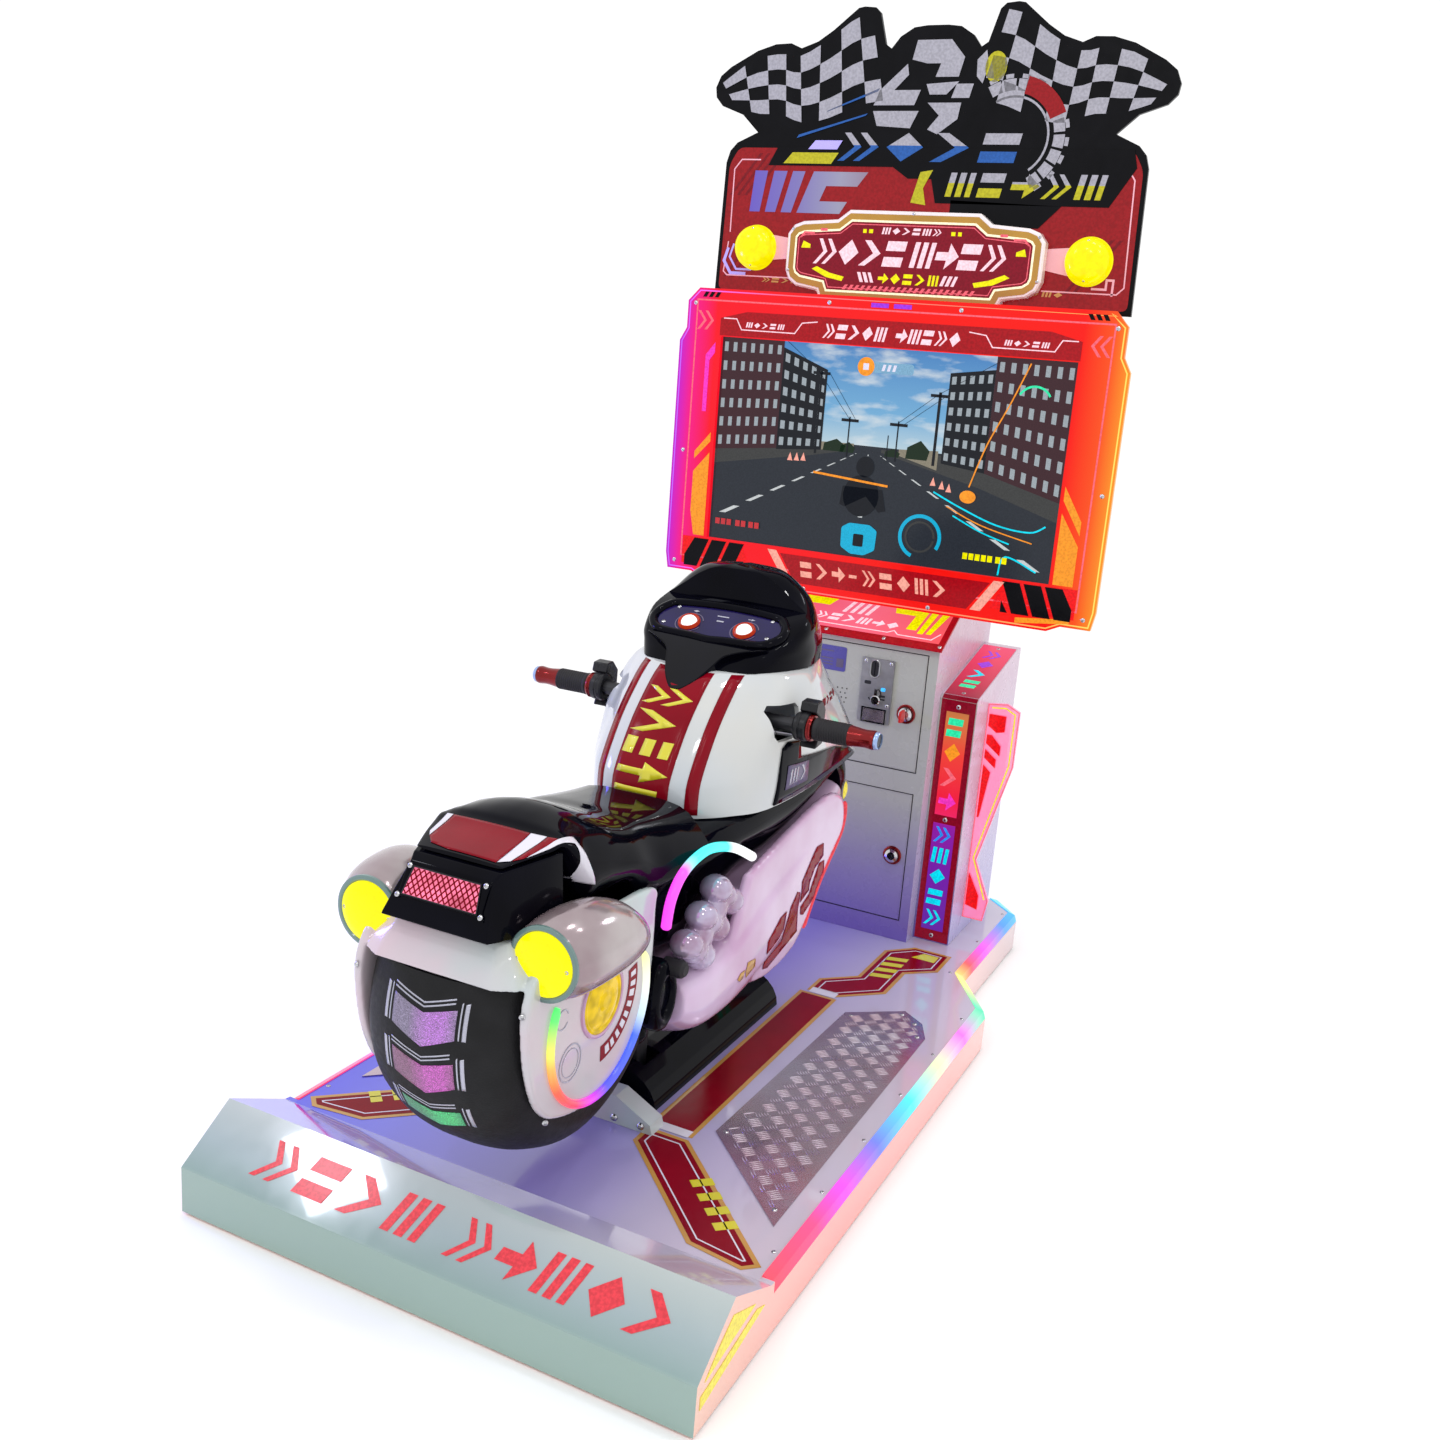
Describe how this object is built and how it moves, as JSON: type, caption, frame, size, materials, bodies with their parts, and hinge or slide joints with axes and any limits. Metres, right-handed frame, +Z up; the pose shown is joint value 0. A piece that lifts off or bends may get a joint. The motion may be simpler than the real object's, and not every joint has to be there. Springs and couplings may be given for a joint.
{
  "type": "ride-on motorcycle racing cabinet",
  "caption": "Child-size motorcycle on a lit platform in front of a coin cabinet with monitor and marquee; the motorcycle leans, steers and has a twist throttle.",
  "frame": {"origin": "on the floor, under the middle of the bounding box", "axes": "+Z up, +Y from the rear of the motorcycle to the cabinet, +X to the right of the rider"},
  "size_m": [0.892, 1.69, 1.835],
  "materials": {
    "deck_white": "gloss",
    "edge_strip": "lit acrylic",
    "checker_steel": "embossed",
    "rubber": "matte",
    "gloss_black": "high gloss",
    "dark_steel": "satin",
    "tyre_black": "pebbled",
    "gloss_white": "high gloss",
    "pearl_white": "pearl gloss",
    "silver": "silver lacquer",
    "navy_panel": "gloss",
    "button_white": "lit",
    "cabinet_white": "powder coat",
    "lock_chrome": "polished",
    "matte_black": "matte",
    "steel": "brushed",
    "lit_red": "edge-lit acrylic",
    "lightbox_crimson": "lit acrylic and painted sheet",
    "screen_glass": "lit display",
    "marquee_print": "printed gloss",
    "badge_white": "lit",
    "lamp_yellow": "lit"
  },
  "bodies": {
    "machine": {"acrylic_fin_left": "lit_red", "acrylic_fin_right": "lit_red", "badge_sign": "badge_white", "bearing_block_front": "dark_steel", "bearing_block_rear": "dark_steel", "cabinet_shell": "cabinet_white", "checker_plate_left": "checker_steel", "checker_plate_right": "checker_steel", "coin_box": "steel", "edge_strip_left": "edge_strip", "edge_strip_right": "edge_strip", "lean_stop_bracket": "dark_steel", "levelling_foot_front_left": "rubber", "levelling_foot_front_right": "rubber", "levelling_foot_rear_left": "rubber", "levelling_foot_rear_right": "rubber", "light_box_left": "lightbox_crimson", "light_box_right": "lightbox_crimson", "marquee_board": "marquee_print", "monitor_chassis": "matte_black", "monitor_frame": "dark_steel", "pedestal_cover": "gloss_black", "platform_deck": "deck_white", "screen": "screen_glass", "screen_surround": "lit_red", "shelf_light_panel": "lit_red", "strobe_lamp_left": "lamp_yellow", "strobe_lamp_right": "lamp_yellow"},
    "motorcycle": {"lean_frame": "dark_steel", "seat_body": "gloss_black", "tail_housing": "gloss_black", "tyre_shell": "tyre_black", "wheel_cowl": "gloss_white", "turn_pod_left": "silver", "turn_pod_right": "silver", "tank_fairing": "gloss_white", "hood": "gloss_black", "dash_panel": "navy_panel", "belly_fairing": "pearl_white", "engine_bulbs_left": "silver", "engine_bulbs_right": "silver", "foot_pod_left": "gloss_black", "foot_pod_right": "gloss_black", "front_nose": "gloss_black"},
    "steering": {"handlebar": "dark_steel", "switch_collar_left": "gloss_black", "switch_collar_right": "gloss_black", "grip_left": "rubber"},
    "throttle": {"throttle_grip": "rubber"},
    "button_left": {"start_button_left": "button_white"},
    "button_right": {"start_button_right": "button_white"},
    "coin_hatch": {"coin_door": "cabinet_white", "coin_entry_plate": "lock_chrome", "loudspeaker": "matte_black"},
    "cash_hatch": {"cash_door": "cabinet_white"},
    "coin_lock": {"coin_door_lock": "lock_chrome"},
    "cash_lock": {"cash_door_lock": "lock_chrome"},
    "reject": {"reject_lever": "lock_chrome"},
    "flap": {"return_flap": "matte_black"},
    "rear_hatch": {"rear_service_door": "cabinet_white"}
  },
  "joints": [
    {"name": "body_lean", "type": "hinge", "parent": "machine", "child": "motorcycle", "pos_m": [0, -0.155, 0.106], "axis": [0, 1, 0], "range_deg": [-8, 8], "stiffness_Nm_per_rad": 900},
    {"name": "handlebar_steer", "type": "hinge", "parent": "motorcycle", "child": "steering", "pos_m": [0, -0.178, 0.667], "axis": [0, -0.3401, 0.9404], "range_deg": [-8, 8], "stiffness_Nm_per_rad": 12},
    {"name": "throttle_twist", "type": "hinge", "parent": "steering", "child": "throttle", "pos_m": [0.25, -0.178, 0.667], "axis": [1, 0, 0], "range_deg": [0, 60], "stiffness_Nm_per_rad": 0.6},
    {"name": "start_button_left_press", "type": "slide", "parent": "motorcycle", "child": "button_left", "axis": [0, 0.4934, -0.8698], "range_m": [0, 0.003], "stiffness_N_per_m": 400},
    {"name": "start_button_right_press", "type": "slide", "parent": "motorcycle", "child": "button_right", "axis": [0, 0.4934, -0.8698], "range_m": [0, 0.003], "stiffness_N_per_m": 400},
    {"name": "coin_door_hinge", "type": "hinge", "parent": "machine", "child": "coin_hatch", "pos_m": [-0.1515, 0.4795, 0.5505], "axis": [0, 0, -1], "range_deg": [0, 48]},
    {"name": "cash_door_hinge", "type": "hinge", "parent": "machine", "child": "cash_hatch", "pos_m": [-0.1515, 0.4795, 0.2575], "axis": [0, 0, -1], "range_deg": [0, 100]},
    {"name": "coin_door_lock_turn", "type": "hinge", "parent": "coin_hatch", "child": "coin_lock", "pos_m": [0.119, 0.48, 0.547], "axis": [0, -1, 0], "range_deg": [0, 90]},
    {"name": "cash_door_lock_turn", "type": "hinge", "parent": "cash_hatch", "child": "cash_lock", "pos_m": [0.123, 0.48, 0.258], "axis": [0, -1, 0], "range_deg": [0, 90]},
    {"name": "reject_lever_turn", "type": "hinge", "parent": "coin_hatch", "child": "reject", "pos_m": [0.056, 0.4756, 0.565], "axis": [0, -1, 0], "range_deg": [0, 30], "stiffness_Nm_per_rad": 0.05},
    {"name": "return_flap_swing", "type": "hinge", "parent": "coin_hatch", "child": "flap", "pos_m": [0.054, 0.4736, 0.5455], "axis": [-1, 0, 0], "range_deg": [0, 60]},
    {"name": "rear_door_hinge", "type": "hinge", "parent": "machine", "child": "rear_hatch", "pos_m": [-0.1295, 0.8155, 0.4], "axis": [0, 0, 1], "range_deg": [0, 100]}
  ]
}
